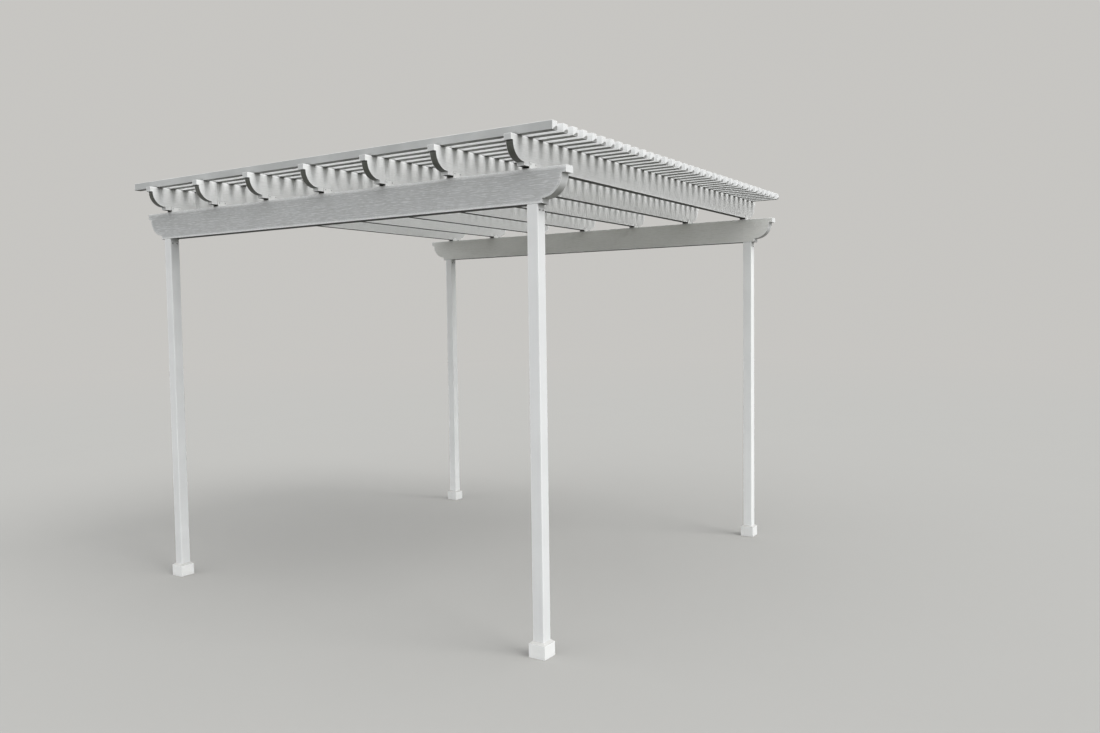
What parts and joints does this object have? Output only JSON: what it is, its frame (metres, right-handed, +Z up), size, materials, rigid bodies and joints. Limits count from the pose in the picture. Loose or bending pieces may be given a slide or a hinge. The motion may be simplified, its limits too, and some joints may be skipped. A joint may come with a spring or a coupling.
{
  "type": "free-standing pergola",
  "caption": "White open garden pergola: square posts, scalloped beams and rafters, and a close roof of square shade bars with pointed caps.",
  "frame": {"origin": "on the ground under the middle of the roof", "axes": "+X along the beams to the right as seen from the front, +Y along the rafters to the back, +Z up"},
  "size_m": [3.9, 3.89, 3.0988],
  "materials": {
    "post_paint": "smooth satin white paint on extruded aluminium",
    "trim_paint": "smooth satin white paint",
    "embossed_paint": "satin white paint over embossed wood grain",
    "cap_paint": "smooth satin white paint",
    "bracket_paint": "smooth satin white paint"
  },
  "bodies": {
    "root": {"front_left_post": "post_paint", "front_right_post": "post_paint", "back_left_post": "post_paint", "back_right_post": "post_paint", "front_left_base_trim": "trim_paint", "front_right_base_trim": "trim_paint", "back_left_base_trim": "trim_paint", "back_right_base_trim": "trim_paint", "front_beam": "embossed_paint", "back_beam": "embossed_paint", "front_beam_left_cap": "cap_paint", "front_beam_right_cap": "cap_paint", "back_beam_left_cap": "cap_paint", "back_beam_right_cap": "cap_paint", "rafter_1": "embossed_paint", "rafter_2": "embossed_paint", "rafter_3": "embossed_paint", "rafter_4": "embossed_paint", "rafter_5": "embossed_paint", "rafter_6": "embossed_paint", "rafter_7": "embossed_paint", "front_rafter_caps": "cap_paint", "back_rafter_caps": "cap_paint", "front_rafter_brackets": "bracket_paint", "back_rafter_brackets": "bracket_paint", "shade_bars_1": "embossed_paint", "shade_bars_2": "embossed_paint", "shade_bars_3": "embossed_paint", "shade_bars_4": "embossed_paint", "shade_bars_5": "embossed_paint", "shade_bars_6": "embossed_paint", "shade_bars_7": "embossed_paint", "shade_bar_left_caps": "cap_paint", "shade_bar_right_caps": "cap_paint"}
  },
  "joints": []
}
